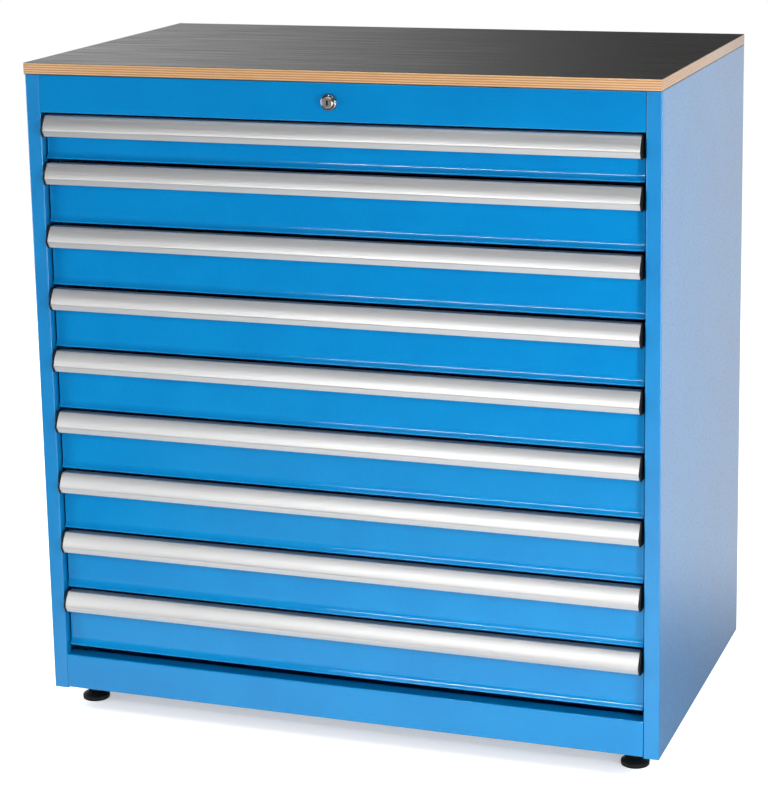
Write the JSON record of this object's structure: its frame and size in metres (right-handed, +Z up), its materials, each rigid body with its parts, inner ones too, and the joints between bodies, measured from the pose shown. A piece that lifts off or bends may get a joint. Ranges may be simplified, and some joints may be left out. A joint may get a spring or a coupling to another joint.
{
  "type": "drawer cabinet",
  "caption": "Low wide steel tool cabinet with full-width drawers, aluminium grip rails, a plywood worktop, a cylinder lock and levelling feet.",
  "frame": {"origin": "on the floor, under the middle of the whole cabinet", "axes": "+Z up, drawers open towards -Y, +X to the right seen from the front"},
  "size_m": [1.006, 0.5901, 1.054],
  "materials": {
    "blue_powder_coat": "fine orange-peel powder coat, semi-gloss",
    "handle_aluminium": "satin anodised",
    "cap_plastic": "moulded black",
    "worktop_plywood": "dark resin film on birch plywood, edges oiled",
    "lock_chrome": "plated",
    "zinc_steel": "bright zinc plate",
    "foot_plastic": "moulded black"
  },
  "bodies": {
    "cabinet": {"right_side_panel": "blue_powder_coat", "left_side_panel": "blue_powder_coat", "top_pan": "blue_powder_coat", "base_pan": "blue_powder_coat", "back_panel": "blue_powder_coat", "worktop": "worktop_plywood", "lock_housing": "lock_chrome", "cabinet_rails": "zinc_steel"},
    "drawer_1": {"drawer_1_box": "blue_powder_coat", "drawer_1_handle": "handle_aluminium", "drawer_1_end_caps": "cap_plastic", "drawer_1_runners": "zinc_steel"},
    "middle_rails_1": {"drawer_1_middle_rails": "zinc_steel"},
    "drawer_2": {"drawer_2_box": "blue_powder_coat", "drawer_2_handle": "handle_aluminium", "drawer_2_end_caps": "cap_plastic", "drawer_2_runners": "zinc_steel"},
    "middle_rails_2": {"drawer_2_middle_rails": "zinc_steel"},
    "drawer_3": {"drawer_3_box": "blue_powder_coat", "drawer_3_handle": "handle_aluminium", "drawer_3_end_caps": "cap_plastic", "drawer_3_runners": "zinc_steel"},
    "middle_rails_3": {"drawer_3_middle_rails": "zinc_steel"},
    "drawer_4": {"drawer_4_box": "blue_powder_coat", "drawer_4_handle": "handle_aluminium", "drawer_4_end_caps": "cap_plastic", "drawer_4_runners": "zinc_steel"},
    "middle_rails_4": {"drawer_4_middle_rails": "zinc_steel"},
    "drawer_5": {"drawer_5_box": "blue_powder_coat", "drawer_5_handle": "handle_aluminium", "drawer_5_end_caps": "cap_plastic", "drawer_5_runners": "zinc_steel"},
    "middle_rails_5": {"drawer_5_middle_rails": "zinc_steel"},
    "drawer_6": {"drawer_6_box": "blue_powder_coat", "drawer_6_handle": "handle_aluminium", "drawer_6_end_caps": "cap_plastic", "drawer_6_runners": "zinc_steel"},
    "middle_rails_6": {"drawer_6_middle_rails": "zinc_steel"},
    "drawer_7": {"drawer_7_box": "blue_powder_coat", "drawer_7_handle": "handle_aluminium", "drawer_7_end_caps": "cap_plastic", "drawer_7_runners": "zinc_steel"},
    "middle_rails_7": {"drawer_7_middle_rails": "zinc_steel"},
    "drawer_8": {"drawer_8_box": "blue_powder_coat", "drawer_8_handle": "handle_aluminium", "drawer_8_end_caps": "cap_plastic", "drawer_8_runners": "zinc_steel"},
    "middle_rails_8": {"drawer_8_middle_rails": "zinc_steel"},
    "drawer_9": {"drawer_9_box": "blue_powder_coat", "drawer_9_handle": "handle_aluminium", "drawer_9_end_caps": "cap_plastic", "drawer_9_runners": "zinc_steel"},
    "middle_rails_9": {"drawer_9_middle_rails": "zinc_steel"},
    "front_left_foot": {"front_left_foot": "foot_plastic"},
    "back_left_foot": {"back_left_foot": "foot_plastic"},
    "front_right_foot": {"front_right_foot": "foot_plastic"},
    "back_right_foot": {"back_right_foot": "foot_plastic"},
    "lock_cylinder": {"lock_plug": "lock_chrome", "lock_shaft": "zinc_steel"},
    "locking_bar": {"locking_bar": "zinc_steel"}
  },
  "joints": [
    {"name": "drawer_1_slide", "type": "slide", "parent": "cabinet", "child": "drawer_1", "axis": [0, -1, 0], "range_m": [0, 0.5]},
    {"name": "middle_rails_1_slide", "type": "slide", "parent": "cabinet", "child": "middle_rails_1", "axis": [0, -1, 0], "range_m": [0, 0.25]},
    {"name": "drawer_2_slide", "type": "slide", "parent": "cabinet", "child": "drawer_2", "axis": [0, -1, 0], "range_m": [0, 0.5]},
    {"name": "middle_rails_2_slide", "type": "slide", "parent": "cabinet", "child": "middle_rails_2", "axis": [0, -1, 0], "range_m": [0, 0.25]},
    {"name": "drawer_3_slide", "type": "slide", "parent": "cabinet", "child": "drawer_3", "axis": [0, -1, 0], "range_m": [0, 0.5]},
    {"name": "middle_rails_3_slide", "type": "slide", "parent": "cabinet", "child": "middle_rails_3", "axis": [0, -1, 0], "range_m": [0, 0.25]},
    {"name": "drawer_4_slide", "type": "slide", "parent": "cabinet", "child": "drawer_4", "axis": [0, -1, 0], "range_m": [0, 0.5]},
    {"name": "middle_rails_4_slide", "type": "slide", "parent": "cabinet", "child": "middle_rails_4", "axis": [0, -1, 0], "range_m": [0, 0.25]},
    {"name": "drawer_5_slide", "type": "slide", "parent": "cabinet", "child": "drawer_5", "axis": [0, -1, 0], "range_m": [0, 0.5]},
    {"name": "middle_rails_5_slide", "type": "slide", "parent": "cabinet", "child": "middle_rails_5", "axis": [0, -1, 0], "range_m": [0, 0.25]},
    {"name": "drawer_6_slide", "type": "slide", "parent": "cabinet", "child": "drawer_6", "axis": [0, -1, 0], "range_m": [0, 0.5]},
    {"name": "middle_rails_6_slide", "type": "slide", "parent": "cabinet", "child": "middle_rails_6", "axis": [0, -1, 0], "range_m": [0, 0.25]},
    {"name": "drawer_7_slide", "type": "slide", "parent": "cabinet", "child": "drawer_7", "axis": [0, -1, 0], "range_m": [0, 0.5]},
    {"name": "middle_rails_7_slide", "type": "slide", "parent": "cabinet", "child": "middle_rails_7", "axis": [0, -1, 0], "range_m": [0, 0.25]},
    {"name": "drawer_8_slide", "type": "slide", "parent": "cabinet", "child": "drawer_8", "axis": [0, -1, 0], "range_m": [0, 0.5]},
    {"name": "middle_rails_8_slide", "type": "slide", "parent": "cabinet", "child": "middle_rails_8", "axis": [0, -1, 0], "range_m": [0, 0.25]},
    {"name": "drawer_9_slide", "type": "slide", "parent": "cabinet", "child": "drawer_9", "axis": [0, -1, 0], "range_m": [0, 0.5]},
    {"name": "middle_rails_9_slide", "type": "slide", "parent": "cabinet", "child": "middle_rails_9", "axis": [0, -1, 0], "range_m": [0, 0.25]},
    {"name": "front_left_foot_screw", "type": "slide", "parent": "cabinet", "child": "front_left_foot", "axis": [0, 0, 1], "range_m": [-0.02, 0]},
    {"name": "back_left_foot_screw", "type": "slide", "parent": "cabinet", "child": "back_left_foot", "axis": [0, 0, 1], "range_m": [-0.02, 0]},
    {"name": "front_right_foot_screw", "type": "slide", "parent": "cabinet", "child": "front_right_foot", "axis": [0, 0, 1], "range_m": [-0.02, 0]},
    {"name": "back_right_foot_screw", "type": "slide", "parent": "cabinet", "child": "back_right_foot", "axis": [0, 0, 1], "range_m": [-0.02, 0]},
    {"name": "lock_turn", "type": "hinge", "parent": "cabinet", "child": "lock_cylinder", "pos_m": [0, -0.28465, 1.0065], "axis": [0, 1, 0], "range_deg": [0, 90]},
    {"name": "locking_bar_lift", "type": "slide", "parent": "cabinet", "child": "locking_bar", "axis": [0, 0, 1], "range_m": [0, 0.01273]}
  ],
  "couplings": [
    {"joint": "middle_rails_1_slide", "follows": "drawer_1_slide", "ratio": 0.5},
    {"joint": "middle_rails_2_slide", "follows": "drawer_2_slide", "ratio": 0.5},
    {"joint": "middle_rails_3_slide", "follows": "drawer_3_slide", "ratio": 0.5},
    {"joint": "middle_rails_4_slide", "follows": "drawer_4_slide", "ratio": 0.5},
    {"joint": "middle_rails_5_slide", "follows": "drawer_5_slide", "ratio": 0.5},
    {"joint": "middle_rails_6_slide", "follows": "drawer_6_slide", "ratio": 0.5},
    {"joint": "middle_rails_7_slide", "follows": "drawer_7_slide", "ratio": 0.5},
    {"joint": "middle_rails_8_slide", "follows": "drawer_8_slide", "ratio": 0.5},
    {"joint": "middle_rails_9_slide", "follows": "drawer_9_slide", "ratio": 0.5},
    {"joint": "lock_turn", "follows": "locking_bar_lift", "rad_per_m": 123.41}
  ]
}
